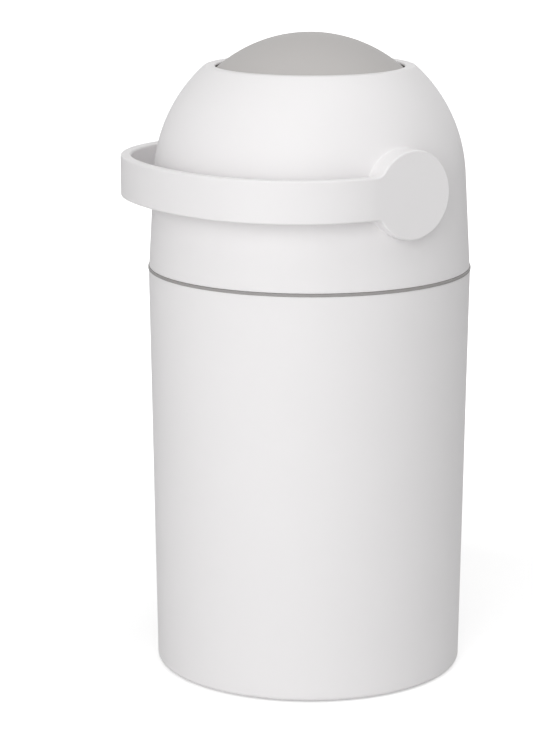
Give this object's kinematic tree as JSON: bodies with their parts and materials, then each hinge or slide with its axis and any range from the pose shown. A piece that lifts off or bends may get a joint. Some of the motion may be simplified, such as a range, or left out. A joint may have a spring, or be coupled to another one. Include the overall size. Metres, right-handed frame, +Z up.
{
  "type": "nappy bin",
  "caption": "Tall round nappy bin with a domed hinged head and a ball drum turned by a wide bail handle, which drops nappies into the tub below.",
  "frame": {"origin": "on the floor under the middle of the tub, the underside of the foot ring's plane", "axes": "+Z up; -Y the front, where the handle rests; +Y the back, where the head's hinge is; X along the drum's axle"},
  "size_m": [0.2848, 0.3031, 0.5399],
  "materials": {
    "white_plastic": "satin white polypropylene",
    "drum_grey": "satin warm grey polypropylene",
    "ring_grey": "satin mid grey polypropylene",
    "dark_rubber": "matt soft rubber",
    "acetal": "smooth natural acetal",
    "steel": "zinc-plated steel"
  },
  "bodies": {
    "bin": {"tub": "white_plastic", "foot_ring": "dark_rubber", "bag_ring": "ring_grey", "hinge_pin": "steel"},
    "head": {"lid_shell": "white_plastic", "lid_frame": "white_plastic", "frame_screws": "steel", "head_gasket": "dark_rubber", "window_wiper": "dark_rubber", "drum_seal": "dark_rubber", "seal_clamp": "white_plastic", "clamp_screws": "steel", "right_bush": "acetal", "left_bush": "acetal", "catch_spring": "steel", "catch_screw": "steel"},
    "drum": {"drum_dome": "drum_grey", "drum_base": "drum_grey", "drum_cup": "white_plastic", "drum_screws": "steel", "right_trunnion": "acetal", "left_trunnion": "acetal", "hub_screws": "steel", "handle": "white_plastic"}
  },
  "joints": [
    {"name": "head_hinge", "type": "hinge", "parent": "bin", "child": "head", "pos_m": [0, 0.1445, 0.3452], "axis": [-1, 0, 0], "range_deg": [0, 95], "deforming": ["catch_spring"]},
    {"name": "drum_turn", "type": "hinge", "parent": "head", "child": "drum", "pos_m": [0, 0, 0.4215], "axis": [-1, 0, 0], "range_deg": [0, 180]}
  ]
}
